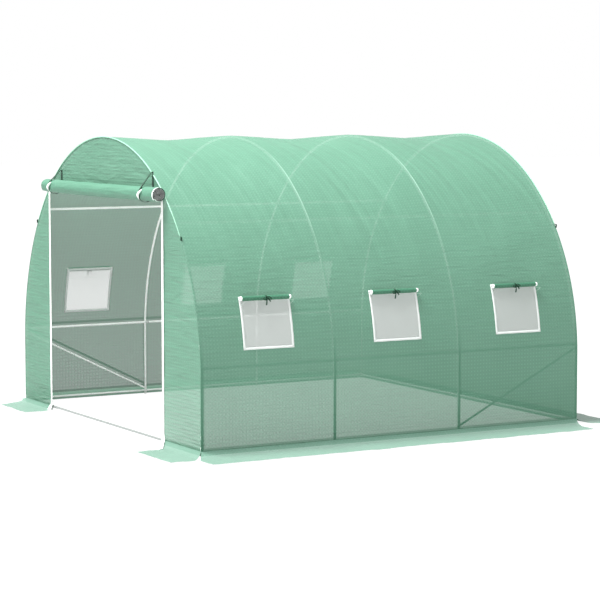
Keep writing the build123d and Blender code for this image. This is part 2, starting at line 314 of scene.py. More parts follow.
def painted_tube_shadows(tree, along, to_end, from_foot, from_hoop, which_side):
    """1 where the cover, low down, lies on a leg, a mid rail or a brace: a painted shadow of the tube behind
    the film.
    """
    on_leg = add(tree, MATH, from_hoop, LEG_LINE, operation="LESS_THAN")
    fading = add(tree, RANGE, from_foot, LEG_FROM, LEG_TO, interpolation_type="SMOOTHSTEP")
    leg = add(tree, MATH, on_leg, fading, operation="MULTIPLY")
    on_rail = add(tree, MATH, from_foot, MID_RAIL_HEIGHT, RAIL_LINE, operation="COMPARE")
    rail = add(tree, MATH, on_rail, RAIL_SHARE, operation="MULTIPLY")
    along_bay = add(tree, MATH, to_end, BAY / 2, operation="SUBTRACT")
    brace_height = add(tree, MATH, along_bay, BRACE_SLOPE, BRACE_FOOT, operation="MULTIPLY_ADD")
    on_brace = add(tree, MATH, from_foot, brace_height, BRACE_LINE, operation="COMPARE")
    # the right side's brace stands in the back bay, and the left side's in the front bay
    corner = add(tree, MATH, along, which_side, operation="MULTIPLY")
    braced = add(tree, MATH, corner, 0.0, operation="GREATER_THAN")
    end_bay = add(tree, MATH, along_bay, 0.0, operation="GREATER_THAN")
    below_top = add(tree, MATH, from_foot, BRACE_TOP, operation="LESS_THAN")
    brace = add(tree, MATH, on_brace, BRACE_SHARE, operation="MULTIPLY")
    for limit in (braced, end_bay, below_top):
        brace = add(tree, MATH, brace, limit, operation="MULTIPLY")
    rail_or_brace = add(tree, MATH, rail, brace, operation="MAXIMUM")
    return add(tree, MATH, leg, rail_or_brace, operation="MAXIMUM")


def cover_marks(tree, cloth):
    """Marks of the sheet over the hoops. High up it has long slanting creases and a painted highlight, a pale
    line along each middle hoop under it. Low down it has hems, seams, painted shadows, dark lines where a
    tube lies behind it, and painted light on the inside of its foot."""
    along, up = add(tree, "ShaderNodeSeparateXYZ", cloth).outputs[:2]
    which_side = add(tree, MATH, HALF_SHEET, up, operation="SUBTRACT")
    from_ridge = add(tree, MATH, which_side, operation="ABSOLUTE")
    from_foot = add(tree, MATH, HALF_SHEET, from_ridge, operation="SUBTRACT")
    to_end = add(tree, MATH, along, operation="ABSOLUTE")
    from_front = add(tree, MATH, along, FRAME_LENGTH / 2, operation="ADD")
    bays = add(tree, MATH, from_front, BAY, operation="DIVIDE")
    bay_share = add(tree, MATH, bays, 0.5, operation="PINGPONG")
    from_hoop = add(tree, MATH, bay_share, BAY, operation="MULTIPLY")

    high_up = add(tree, RANGE, from_ridge, HIGH_FROM, HIGH_TO, interpolation_type="SMOOTHSTEP")
    # painted highlight: pale where a middle hoop lies under the film, high up
    hoop_highlight_line = add(tree, RANGE, from_hoop, HOOP_HIGHLIGHT_FROM, HOOP_HIGHLIGHT_TO, interpolation_type="SMOOTHSTEP")
    hoop_painted_highlight = add(tree, MATH, hoop_highlight_line, HOOP_HIGHLIGHT_TONE, operation="MULTIPLY")
    off_ridge = add(tree, RANGE, from_ridge, RIDGE_FROM, RIDGE_TO)
    middle_hoops = add(tree, MATH, to_end, MIDDLE_HOOPS, operation="LESS_THAN")
    for limit in (high_up, off_ridge, middle_hoops):
        hoop_painted_highlight = add(tree, MATH, hoop_painted_highlight, limit, operation="MULTIPLY")

    slant = add(
        tree, "ShaderNodeMapping", cloth, vector_type="TEXTURE",
        Rotation=(0, 0, CREASE_SLANT), Scale=STREAK_SIZE,
    )
    streak = add(tree, NOISE, slant, Scale=1.0, Detail=4.0, Distortion=0.3)
    high_streak = add(tree, MATH, streak, high_up, operation="MULTIPLY")
    streaks = add(tree, MATH, high_streak, STREAK_RISE, operation="MULTIPLY")
    calm = add(tree, MATH, high_up, -0.35, 0.6, operation="MULTIPLY_ADD")  # fine creases fade where these are

    foot = add(tree, MATH, from_foot, HEM_OUTSIDE, operation="LESS_THAN")
    # painted light: the inside of the foot is painted pale
    inside_foot_painted_light = add(tree, MATH, from_foot, PAINTED_LIGHT_FOOT, operation="LESS_THAN")
    at_end = add(tree, MATH, to_end, FRAME_LENGTH / 2 - SEAM_WIDTH, operation="GREATER_THAN")
    low_down = add(tree, MATH, from_foot, SEAM_HEIGHT, operation="LESS_THAN")
    seam = add(tree, MATH, at_end, low_down, operation="MULTIPLY")
    doubled = add(tree, MATH, foot, seam, operation="MAXIMUM")
    folded = add(tree, MATH, doubled, HEM_SHARE, operation="MULTIPLY")
    # painted shadows of the tubes behind the film join the hems' darker tone
    tube_shadows = painted_tube_shadows(tree, along, to_end, from_foot, from_hoop, which_side)
    hem = add(tree, MATH, folded, tube_shadows, operation="MAXIMUM")
    return {"hem": hem, "inside_foot_painted_light": inside_foot_painted_light, "hoop_painted_highlight": hoop_painted_highlight, "streaks": streaks, "calm": calm}


def ripstop_film(name, face, deep, let_through, clear, marks=no_marks, weft=0.75):
    """Green polyethylene film, extruded and coated on a woven scrim: it scatters most of the light, a fifth
    passes straight, and the scrim shows as a grid of slightly deeper, denser lines. Weft is how strongly the
    lines across show. The coating of the inner face is darker. Where the foot is folded double it is denser
    outside; inside, the foot's pale tone is painted light. The cover's marks add painted tube shadows and a
    painted highlight along the hoops."""
    material, tree = blank(name)
    cloth = add(tree, CLOTH, uv_map="cloth")  # places on the flat sheet, in metres
    mark = marks(tree, cloth)
    warp_lines, weft_lines = grid_lines(tree, cloth, GRID_PITCH, GRID_LINE)
    faint_weft = add(tree, MATH, weft_lines, weft, operation="MULTIPLY")
    grid = add(tree, MATH, warp_lines, faint_weft, operation="MAXIMUM")
    knots = add(tree, MATH, warp_lines, weft_lines, operation="MULTIPLY")

    on_object = add(tree, PLACE).outputs["Object"]
    cloud = add(tree, NOISE, on_object, Scale=CLOUDS, Detail=3.0, Roughness=0.55)
    back = add(tree, "ShaderNodeNewGeometry").outputs["Backfacing"]
    # painted light: inside, the foot is pale, lighter than the film's outer face
    inside = add(tree, MIX, mark["inside_foot_painted_light"], colour("#436A57"), colour("#8CC0A6"), data_type="RGBA")
    tone = colour(face)
    for where, share, turned_to in (
        (cloud, CLOUD_TONE, colour(deep)),
        (grid, LINE_TONE, colour(deep)),
        (knots, KNOT_TONE, colour("#A9D9C2")),
        # painted highlight: a pale line along each middle hoop under the film
        (mark["hoop_painted_highlight"], 1.0, colour("#B4DCC8")),
        # the hems' deeper tone, with the painted shadows of the tubes
        (mark["hem"], HEM_AND_SHADOW_SHUT, colour(deep)),
        (back, INSIDE_SHARE, inside),
    ):
        how_far = add(tree, MATH, where, share, operation="MULTIPLY")
        tone = add(tree, MIX, how_far, tone, turned_to, data_type="RGBA")

    stretch = add(
        tree, "ShaderNodeMapping", cloth, Rotation=(0, 0, FINE_SLANT), Scale=FINE_CREASES
    )
    crease = add(tree, NOISE, stretch, Scale=1.0, Detail=3.0, Distortion=0.6)
    creases = add(tree, MATH, crease, mark["calm"], mark["streaks"], operation="MULTIPLY_ADD")
    height = add(tree, MATH, grid, LINE_RISE, creases, operation="MULTIPLY_ADD")
    bump = add(tree, BUMP, Height=height, Strength=0.8, Distance=CREASE_DEPTH)

    skin = add(tree, SKIN, tone, Normal=bump, Roughness=0.5, Specular_IOR_Level=0.25)
    line_glow = add(tree, MATH, grid, LINE_SHUT, operation="MULTIPLY")
    glow_tone = add(tree, MIX, line_glow, colour(let_through), colour(deep), data_type="RGBA")
    glow = add(tree, "ShaderNodeBsdfTranslucent", glow_tone, bump)
    scatter = add(tree, BLEND, GLOW_SHARE, skin, glow)
    between_lines = add(tree, MATH, grid, -LINE_SHUT * clear, clear, operation="MULTIPLY_ADD")
    # hems and painted tube shadows let less light straight through
    off_hem = add(tree, MATH, mark["hem"], -HEM_AND_SHADOW_SHUT, 1.0, operation="MULTIPLY_ADD")
    open_share = add(tree, MATH, between_lines, off_hem, operation="MULTIPLY")
    through = add(tree, "ShaderNodeBsdfTransparent")
    whole = add(tree, BLEND, open_share, scatter, through)
    add(tree, OUTPUT, whole)
    return material


NET_MESH, NET_THREAD = 0.004, 0.0016  # the real mesh is 1.2 mm, too fine to show, and is drawn at 4 mm


def insect_net(name):
    """White knitted polyester net: too fine to show as threads, so it looks greyish, and a third of the light
    passes."""
    material, tree = blank(name)
    lines = grid_lines(tree, add(tree, CLOTH, uv_map="cloth"), NET_MESH, NET_THREAD)
    weave = add(tree, MATH, *lines, operation="MAXIMUM")
    tone = add(tree, MIX, weave, colour("#B9BCBB"), colour("#CACCCB"), data_type="RGBA")
    skin = add(tree, SKIN, tone, Roughness=0.8)
    glow = add(tree, "ShaderNodeBsdfTranslucent", tone)
    threads = add(tree, BLEND, 0.4, skin, glow)
    open_share = add(tree, MATH, weave, -0.18, 0.42, operation="MULTIPLY_ADD")
    whole = add(tree, BLEND, open_share, threads, add(tree, "ShaderNodeBsdfTransparent"))
    add(tree, OUTPUT, whole)
    return material


def woven_tape(name, face, shade, rib):
    """Woven polyester tape or webbing: matt, with soft ribs. A rib is given by its width."""
    material, tree = blank(name)
    on_object = add(tree, PLACE).outputs["Object"]
    ribs = add(tree, NOISE, on_object, Scale=1.0 / rib, Detail=1.0)
    tone = add(tree, MIX, ribs, colour(face), colour(shade), data_type="RGBA")
    bump = add(tree, BUMP, Height=ribs, Strength=0.4, Distance=rib * 0.3)
    skin = add(
        tree, SKIN, tone, Normal=bump, Roughness=0.75, Sheen_Weight=0.05, Specular_IOR_Level=0.25
    )
    add(tree, OUTPUT, skin)
    return material


ORANGE_PEEL = 420.0  # to the metre: bumps 2.4 mm wide, as the powder melts
SCUFFS = 9.0  # to the metre: worn patches 110 mm wide


def coated_steel(name, face="#F7F8F7", scuffed="#D3D6D5"):
    """White powder coat on steel tube: satin, with a faint orange peel and grey scuffs."""
    material, tree = blank(name)
    on_object = add(tree, PLACE).outputs["Object"]
    peel = add(tree, NOISE, on_object, Scale=ORANGE_PEEL, Detail=2.0)
    scuff = add(tree, NOISE, on_object, Scale=SCUFFS, Detail=6.0)
    worn = add(tree, RANGE, scuff, 0.55, 0.75)
    faint = add(tree, MATH, worn, 0.35, operation="MULTIPLY")
    tone = add(tree, MIX, faint, colour(face), colour(scuffed), data_type="RGBA")
    bump = add(tree, BUMP, Height=peel, Strength=0.15, Distance=0.0004)
    skin = add(tree, SKIN, tone, Normal=bump, Roughness=0.35, Coat_Weight=0.2)
    add(tree, OUTPUT, skin)
    return material


MOULD_GRAIN = 900.0  # to the metre: a grain of 1.1 mm, drawn coarser than the real etched mould


def moulded(name, face, roughness):
    """Moulded plastic, zinc plate or thread: a fine even grain."""
    material, tree = blank(name)
    on_object = add(tree, PLACE).outputs["Object"]
    grain = add(tree, NOISE, on_object, Scale=MOULD_GRAIN, Detail=2.0)
    faint = add(tree, MATH, grain, 0.12, operation="MULTIPLY")
    tone = add(tree, MIX, faint, colour(face), colour("#20221F"), data_type="RGBA")
    bump = add(tree, BUMP, Height=grain, Strength=0.2, Distance=0.0003)
    skin = add(tree, SKIN, tone, Normal=bump, Roughness=roughness)
    add(tree, OUTPUT, skin)
    return material


cover_film = ripstop_film(
    "green ripstop polyethylene film", "#62907A", "#487660", "#5A8A71", 0.21, cover_marks
)
end_film = ripstop_film(
    "green ripstop film of the ends", "#65937D", "#47755F", "#5B8B72", 0.21, end_marks, weft=1.4
)
flap_film = ripstop_film("green film lying on the ground", "#749587", "#5A816E", "#6E9281", 0.16)
door_film = ripstop_film("green film rolled up", "#5E8D77", "#39634F", "#53816A", 0.0)
window_film = ripstop_film("green film of the window flaps", "#467B62", "#2B5D45", "#447B5F", 0.0)
net_cloth = insect_net("white polyester insect net")
TAPE_RIB, WEBBING_RIB = 0.0012, 0.0015
white_tape = woven_tape("white woven polyester tape", "#F2F4F2", "#D5DAD7", TAPE_RIB)
net_tape = woven_tape("off white woven tape of the windows", "#D2D6D4", "#BBC1BE", TAPE_RIB)
# the roll's inner white tape, painted mid grey and dark grey as the shade inside the roll
painted_shade_tape_rim = woven_tape("grey shaded tape edge", "#B9BDBB", "#9DA2A0", TAPE_RIB)
painted_shade_tape = woven_tape("dark grey lining tape", "#2C302E", "#1B1E1D", TAPE_RIB)
green_webbing = woven_tape("dark green polypropylene webbing", "#15452F", "#0E2E1F", WEBBING_RIB)
steel = coated_steel("white powder coated steel tube")
# the sill's white tube is painted grey: painted shade standing for the shaded edges of the tube
painted_shade_sill_steel = coated_steel("powder coated steel tube worn grey by feet", "#7A7F7D", "#5C615F")
white_plastic = moulded("white moulded nylon", "#F4F4F2", 0.45)
dark_plastic = moulded("dark grey moulded polypropylene", "#3B403E", 0.5)
zinc = moulded("zinc plated steel fasteners", "#B9BDBB", 0.35)
thread = moulded("grey green polyester thread", "#B7C7BE", 0.8)
# pale tone: a painted highlight along the cover's lit arch edge
painted_highlight_piping = moulded("pale green vinyl piping", "#84B79D", 0.4)

for node_name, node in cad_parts.items():
    node.data.materials.clear()
    node.data.materials.append(painted_shade_sill_steel if node_name == "door_sill_rail" else steel)

# The cover
SHEET_STEP = 0.024
SHEET_FOOT = 0.004  # the sheets' lower edges stand this far off the ground
EDGE_LAP = 0.0015  # the cover laps the ends' faces by this
SLACK = 0.004
FOLD, FINE_FOLD, BROAD_FOLD = 0.0050, 0.0016, 0.0030  # heights of the creases
FOLD_ACROSS, FOLD_ALONG = 11, 1.1  # to the metre: 90 mm apart and 0.9 m long
FINE_ACROSS, FINE_ALONG = 27, 1.9  # 37 mm apart and 0.5 m long
BROAD_ACROSS, BROAD_ALONG = 3.0, 5  # soft fullness, 330 mm by 200 mm
LOW_PART, LOW_LIMIT = 0.9, -0.0015  # below this height braces and rails lie close behind the sheet
window_centres = [-FRAME_LENGTH / 2 + (index + 0.5) * BAY for index in range(len(BAYS))]
low_angle = angle_at_height(WINDOW_LOW, COVER)
high_angle = angle_at_height(WINDOW_HIGH, COVER)


def cover_stations():
    """Up one side and down the other: point over a hoop, point between hoops, outward direction, and angle
    round the bends."""
    leg_heights = snapped(SHEET_FOOT, LEG, SHEET_STEP)
    stations = [(WALL_X, z, WALL_X, z, 1.0, 0.0, None) for z in leg_heights[:-1]]
    exact = (low_angle, high_angle, SPLIT_ANGLE, pi - SPLIT_ANGLE, pi - high_angle, pi - low_angle)
    for a in snapped(0, pi, SHEET_STEP / SIDE_BEND, exact):
        x, z, nx, nz = on_arch(a, COVER)
        dx, dz = x, z
        if SPLIT_ANGLE < a < pi - SPLIT_ANGLE:
            dx, dz, _, _ = on_arch(a, COVER, dipped=True)
        stations.append((x, z, dx, dz, nx, nz, a))
    stations += [(-WALL_X, z, -WALL_X, z, -1.0, 0.0, None) for z in leg_heights[::-1][1:]]
    return stations


def near_window(y, height):
    """1 at a window and its tape, falling to 0 a little way outside."""
    along = min(abs(y - c) for c in window_centres) - WINDOW_HALF
    up = abs(height - (WINDOW_LOW + WINDOW_HIGH) / 2) - (WINDOW_HIGH - WINDOW_LOW) / 2
    return float(1 - smoothstep(0.02, 0.09, max(along, up)))


def sheet_relief(s, y, height, dip):
    """How far the sheet stands off its even shape: slack between hoops, and creases that run down from the
    hoops at a slant."""
    slack = -SLACK * dip * smoothstep(0.0, 0.25, height) * (1 - smoothstep(1.0, 1.25, height))
    from_ridge = abs(s - SHEET_LENGTH / 2)
    across = cos(CREASE_SLANT) * y - sin(CREASE_SLANT) * from_ridge
    along = sin(CREASE_SLANT) * y + cos(CREASE_SLANT) * from_ridge
    fold = 1 - 2.2 * abs(noise.noise(Vector((across * FOLD_ACROSS, along * FOLD_ALONG, 3.1))))
    fine = 1 - 2.2 * abs(noise.noise(Vector((across * FINE_ACROSS, along * FINE_ALONG, 5.3))))
    broad = noise.noise(Vector((along * BROAD_ALONG + 4, across * BROAD_ACROSS, 7.7)))
    high_up = 0.30 + 0.70 * smoothstep(0.9, 1.5, height)
    off_ridge = 0.25 + 0.75 * smoothstep(0.0, 0.40, from_ridge)
    creases = ((FOLD * fold + FINE_FOLD * fine) * high_up + BROAD_FOLD * broad) * off_ridge
    relief = slack + creases * min(1.0, dip * 2.5)
    if height < LOW_PART:
        relief = max(relief, LOW_LIMIT)
    return relief * (1 - near_window(y, height))


stations = cover_stations()
y_exact = [c + side * WINDOW_HALF for c in window_centres for side in (-1, 1)]
y_exact += [-FRAME_LENGTH / 2 + BAY, -FRAME_LENGTH / 2 + 2 * BAY]
y_lines = snapped(-WALL_Y - EDGE_LAP, WALL_Y + EDGE_LAP, SHEET_STEP, y_exact)
lengths = [0.0]
for a, b in zip(stations, stations[1:]):
    lengths.append(lengths[-1] + sqrt((a[0] - b[0]) ** 2 + (a[1] - b[1]) ** 2))
SHEET_LENGTH = lengths[-1]

points, uv = [], []
for (hx, hz, dx, dz, nx, nz, a), s in zip(stations, lengths):
    for y in y_lines:
        dip = dip_at(y)
        off = sheet_relief(s, y, hz, dip)
        points.append((hx + (dx - hx) * dip + nx * off, y, hz + (dz - hz) * dip + nz * off))
        uv.append((y, s))


def in_window(i, j):
    """Whether a quad of the cover lies in a window."""
    a = stations[i][-1]
    b = stations[i + 1][-1]
    if a is None or b is None:
        return False
    middle = (a + b) / 2
    middle = min(middle, pi - middle)
    if not low_angle < middle < high_angle:
        return False
    y = (y_lines[j] + y_lines[j + 1]) / 2
    return any(abs(y - c) < WINDOW_HALF for c in window_centres)


cover = link_mesh(
    "tunnel_cover", points, grid_faces(len(stations), len(y_lines), in_window), cover_film, uv
)
drop_loose(cover)
roof_nodes = [f"{bay}_bay_roof" for bay in BAYS]
side_nodes = [f"{side_name}_side_{bay}_bay" for _, side_name in SIDES for bay in BAYS]
place(cover, "cover_sheet", *roof_nodes, *side_nodes)


# The two ends
END_INSET = 0.0008  # the ends' faces stand this far inside the cover's edge
PANEL_ROWS, OVER_DOOR_ROWS, WALL_ROWS = 66, 15, 70
LEAST_SHARE = 0.31  # the least share of its flat size that a sheet can state as its area
ON_LINE = 1e-6


def end_columns(exact=()):
    """(x, height of the arch) from the right leg to the left."""
    columns = [(WALL_X, 0.0)]
    for a in snapped(0, pi, SHEET_STEP / SIDE_BEND, exact):
        x, z, _, _ = on_arch(a, COVER)
        columns.append((x, z))
    return columns


def end_wave(x, z):
    """Fine wrinkles that run slightly downhill, with a broad fullness."""
    wrinkle = noise.noise(Vector((x * 2.5, z * 17 + x * 4, 1.7)))
    fullness = noise.noise(Vector((x * 2, z * 2, 9.0)))
    return 0.0035 * wrinkle + 0.004 * fullness


def end_patch(columns, low, rows, y, outward):
    """Points, faces and uv of a sheet that fills the arch above a level, column by column."""
    points, uv = [], []
    kept = [(x, top) for x, top in columns if top > low + 0.001]
    for x, top in kept:
        for k in range(rows + 1):
            z = low + (top - low) * k / rows
            held = min(1.0, 6 * (top - z) + 0.15, 6 * (z - low) + 0.15)
            points.append((x, y + outward * end_wave(x, z) * held, z))
            uv.append((x, z))
    faces = grid_faces(len(kept), rows + 1, flip=outward > 0)
    return points, faces, uv


def merged(patches):
    """Several (points, faces, uv) as one."""
    points, faces, uv = [], [], []
    for p, f, t in patches:
        faces += [tuple(len(points) + i for i in face) for face in f]
        points += list(p)
        uv += list(t)
    return points, faces, uv


def end_sheet(name, patches, hoop, rail, least_area, *nodes):
    """One end's sheet, from its patches."""
    points, faces, uv = merged(patches)
    sheet = link_mesh(name, points, faces, end_film, uv)
    place(sheet, "cover_sheet", *nodes)


right_edge = angle_at_width(DOOR_RIGHT, COVER)
left_edge = pi - angle_at_width(-DOOR_LEFT, COVER)
columns = end_columns((right_edge, left_edge))
beside_right = [c for c in columns if c[0] >= DOOR_RIGHT - ON_LINE]
over_door = [c for c in columns if DOOR_LEFT - ON_LINE <= c[0] <= DOOR_RIGHT + ON_LINE]
beside_left = [c for c in columns if c[0] <= DOOR_LEFT + ON_LINE]
front_y = -WALL_Y + END_INSET
door_end = (
    end_patch(beside_right, SHEET_FOOT, PANEL_ROWS, front_y, -1),
    end_patch(over_door, DOOR_TOP, OVER_DOOR_ROWS, front_y, -1),
    end_patch(beside_left, SHEET_FOOT, PANEL_ROWS, front_y, -1),
)
end_sheet(
    "door_end_sheet", door_end, "front_hoop", "door_sill_rail", LEAST_SHARE * 2 * WALL_X * (CROWN + COVER),
    "front_left_panel", "front_right_panel", "front_top_panel",
)
closed_end = (end_patch(end_columns(), SHEET_FOOT, WALL_ROWS, WALL_Y - END_INSET, 1),)
end_sheet("closed_end_sheet", closed_end, "back_hoop", "back_base_rail", 0.0, "back_wall")

# Skirt flaps
APRON_HEIGHT = 0.034  # the flap leaves the wall at this height
APRON_REACH = 0.102  # and comes down to the ground this far out
GROUND_GAP = 0.002
FLAP_STEP = 0.02
FLAP_ROWS = 9  # from the wall to the middle line, and again to the edge
RIPPLE, SWAY = 0.007, 0.006


def flap(name, node, foot, middle, outer, axis, seed):
    """A flap from the wall's foot to the ground. foot, middle and outer are its lines in plan, each by its
    two ends."""
    foot, middle, outer = (np.array(line, float) for line in (foot, middle, outer))
    run = max(np.linalg.norm(line[1] - line[0]) for line in (foot, middle, outer))
    columns = max(8, int(run / FLAP_STEP))
    wall = abs(foot[0][axis])
    points, uv = [], []
    for i in range(columns + 1):
        a, b, c = (line[0] + (line[1] - line[0]) * i / columns for line in (foot, middle, outer))
        for k in range(2 * FLAP_ROWS + 1):
            if k <= FLAP_ROWS:
                p = a + (b - a) * k / FLAP_ROWS
            else:
                p = b + (c - b) * (k - FLAP_ROWS) / FLAP_ROWS
            slope = 1 - min((abs(p[axis]) - wall) / APRON_REACH, 1.0)
            ripple = 0.5 + 0.5 * noise.noise(Vector((p[0] * 7, p[1] * 7, seed)))
            ripple += 0.35 * noise.noise(Vector((p[0] * 23, p[1] * 23, seed + 5)))
            lift = GROUND_GAP + RIPPLE * max(0.0, ripple) * (1 - slope)
            z = APRON_HEIGHT * slope**2.2 + lift * (1 - slope)
            outward = k / (2 * FLAP_ROWS)
            sway = SWAY * outward * noise.noise(Vector((p[0] * 5, p[1] * 5, seed + 9)))
            q = p.copy()
            q[axis] += sway * np.sign(q[axis])
            points.append((q[0], q[1], z))
            uv.append((p[0], p[1]))
    piece = link_mesh(name, points, grid_faces(columns + 1, 2 * FLAP_ROWS + 1), flap_film, uv)
    facing_up = sum(p.normal.z * p.area for p in piece.data.polygons)
    if facing_up < 0:
        piece.data.flip_normals()
    place(piece, "skirt_sheet", node)


flap(
    "right_ground_flap", "right_skirt",
    ((WALL_X, -WALL_Y), (WALL_X, WALL_Y)), ((1.650, -1.593), (1.650, 1.440)),
    ((1.828, -1.593), (1.800, 1.440)), 0, 1.0,
)
flap(
    "left_ground_flap", "left_skirt",
    ((-WALL_X, -WALL_Y), (-WALL_X, WALL_Y)), ((-1.645, -1.480), (-1.650, 1.440)),
    ((-1.660, -1.440), (-1.828, 1.412)), 0, 2.0,
)
flap(
    "back_ground_flap", "back_skirt",
    ((WALL_X, WALL_Y), (-WALL_X, WALL_Y)), ((1.591, 1.625), (-1.591, 1.625)),
    ((1.591, 1.793), (-1.591, 1.793)), 1, 3.0,
)
flap(
    "front_right_ground_flap", "front_right_skirt",
    ((DOOR_RIGHT, -WALL_Y), (WALL_X, -WALL_Y)), ((1.115, -1.620), (1.628, -1.620)),
    ((1.115, -1.793), (1.628, -1.793)), 1, 4.0,
)
flap(
    "front_left_ground_flap", "front_left_skirt",
    ((-WALL_X, -WALL_Y), (DOOR_LEFT, -WALL_Y)), ((-1.490, -1.567), (-0.931, -1.567)),
    ((-1.425, -1.740), (-0.931, -1.740)), 1, 5.0,
)

# Rolled door
DOOR_SHEET = 0.0022
ROLL_TURNS, ROLL_STEPS = 5.5, 44
ROLL_PITCH = 0.0082
ROLL_SAG = 0.004
FREE_EDGE = radians(222)  # the sheet's free edge hangs at the front, low down
END_TAPE = 0.011  # white zip tape sewn to the door's two side edges
BARE_END = 0.032  # the plain film starts this far in
LEFT_LINES, MIDDLE_LINES, RIGHT_LINES = 6, 86, 4
TELESCOPE = 0.034  # at the left end the inner turns reach further out than the outer ones
LEFT_DRAW, LEFT_OVER = 0.30, 0.045  # how far the left end is drawn in, and over what length
RIGHT_DRAW, RIGHT_OVER = 0.03, 0.03
ROLL_GAP = 0.0026  # between the roll and the wall
roll_y = -WALL_Y - ROLL_GAP - ROLL_RADIUS


def roll_section(turns, outer, pitch, steps, start=0.0, way=1):
    """Points of a spiral from its outer end inwards. start is the outer end's angle from the wall's side."""
    section = []
    for k in range(int(turns * steps) + 1):
        a = 2 * pi * k / steps
        radius = outer - pitch * k / steps
        section.append((radius * cos(start + way * a), radius * sin(start + way * a), outer * a))
    return section


section = roll_section(ROLL_TURNS, ROLL_RADIUS - DOOR_SHEET / 2, ROLL_PITCH, ROLL_STEPS, FREE_EDGE, -1)
x_lines = np.concatenate(
    (np.linspace(ROLL_LEFT, ROLL_LEFT + END_TAPE, LEFT_LINES),
     np.linspace(ROLL_LEFT + BARE_END, ROLL_RIGHT - BARE_END, MIDDLE_LINES),
     np.linspace(ROLL_RIGHT - END_TAPE, ROLL_RIGHT, RIGHT_LINES))
)
points, uv = [], []
for x in x_lines:
    sag = -ROLL_SAG * (1 - (2 * (x - ROLL_LEFT) / (ROLL_RIGHT - ROLL_LEFT) - 1) ** 2)
    from_left, from_right = x - ROLL_LEFT, ROLL_RIGHT - x
    rounding = 1 - LEFT_DRAW * smoothstep(LEFT_OVER, 0.0, from_left) ** 2
    rounding -= RIGHT_DRAW * smoothstep(RIGHT_OVER, 0.0, from_right)
    for index, (dy, dz, s) in enumerate(section):
        a = atan2(dz, dy)
        depth = sqrt(dy * dy + dz * dz) / ROLL_RADIUS
        lump = 0.0022 * noise.noise(Vector((x * 5 + a * 1.2, cos(a) * 1.5, sin(a) * 1.5)))
        lump += 0.0014 * noise.noise(Vector((x * 16 + a * 3, cos(a) * 2, sin(a) * 2)))
        curl = max(0.0, 1 - index / 4) * (0.05 + 0.06 * noise.noise(Vector((x * 6, 0.3, 2.2))))
        scale = rounding + lump / ROLL_RADIUS + curl
        drawn_in = TELESCOPE * depth**2 * smoothstep(0.12, 0.0, from_left)
        points.append((x + drawn_in, roll_y + dy * scale, ROLL_HEIGHT + sag + dz * scale))
        uv.append((x, s))
rolled = link_mesh(
    "rolled_door_sheet", points, grid_faces(len(x_lines), len(section), flip=True), door_film, uv
)
TAPE_OUT, SHADED = 2, 5  # the inner face of each takes the next finish, and its rim the one before
# the white tape on the roll's inner turns, and the inner face of the outer turn's tape, are painted dark
# grey, with mid grey rims, as shade inside the roll
for finish in (door_film, white_tape, painted_shade_tape, painted_shade_tape_rim, painted_shade_tape, painted_shade_tape):
    rolled.data.materials.append(finish)
per_row = len(section) - 1
for index, polygon in enumerate(rolled.data.polygons):
    row, column = divmod(index, per_row)
    if row < LEFT_LINES - 1 or row >= len(x_lines) - RIGHT_LINES:
        polygon.material_index = TAPE_OUT if column < ROLL_STEPS else SHADED
thicken(rolled, DOOR_SHEET, inner_finish=1, rim_finish=-1)
place(rolled, "door_sheet", "rolled_door")


# Webbing, tapes and piping
def ribbon(path, width_way, width, thickness, taper=None):
    """Points, faces and uv of a strip along a path, closed at its ends. width_way is one direction, or one
    for each point."""
    path = np.array(path, float)
    ways = np.array(width_way, float)
    if ways.ndim == 1:
        ways = np.tile(ways, (len(path), 1))
    run = np.gradient(path, axis=0)
    run /= np.linalg.norm(run, axis=1)[:, None]
    ways = ways - run * np.sum(ways * run, axis=1)[:, None]
    ways /= np.linalg.norm(ways, axis=1)[:, None]
    up = np.cross(run, ways)
    half = np.full(len(path), width / 2) if taper is None else width / 2 * np.array(taper)
    far = np.concatenate(([0.0], np.cumsum(np.linalg.norm(np.diff(path, axis=0), axis=1))))
    points, uv = [], []
    corners = ((-1, -1), (1, -1), (1, 1), (-1, 1))
    for p, w, n, h, s in zip(path, ways, up, half, far):
        for i, j in corners:
            points.append(p + w * h * i + n * thickness / 2 * j)
            uv.append((s, h * i))
    faces = grid_faces(len(path), len(corners), wrap=True)
    last = len(corners) * (len(path) - 1)
    faces += [(0, 3, 2, 1), (last, last + 1, last + 2, last + 3)]
    return points, faces, uv


def round_bar(path, radii, sides=8):
    """Points, faces and uv of a cord or bead along a path, closed at its ends."""
    path = np.array(path, float)
    run = np.gradient(path, axis=0)
    run /= np.linalg.norm(run, axis=1)[:, None]
    points, uv = [], []
    side = np.cross(run[0], (0.31, 0.17, 0.93))  # any direction that no path here follows
    far = 0.0
    for index, (p, t, r) in enumerate(zip(path, run, radii)):
        side = side - t * np.dot(side, t)
        side /= np.linalg.norm(side)
        other = np.cross(t, side)
        if index:
            far += np.linalg.norm(p - path[index - 1])
        for k in range(sides):
            a = 2 * pi * k / sides
            points.append(p + r * (cos(a) * side + sin(a) * other))
            uv.append((far, r * a))
    faces = grid_faces(len(path), sides, wrap=True, flip=True)
    last = sides * (len(path) - 1)
    faces += [tuple(range(sides)), tuple(last + k for k in reversed(range(sides)))]
    return points, faces, uv


def join_shapes(name, shapes, material):
    """One mesh object of several (points, faces, uv), with its faces outwards."""
    points, faces, uv = merged(shapes)
    piece = link_mesh(name, points, faces, material, uv)
    shape = bmesh.new()
    shape.from_mesh(piece.data)
    bmesh.ops.recalc_face_normals(shape, faces=shape.faces)
    shape.to_mesh(piece.data)
    shape.free()
    return piece


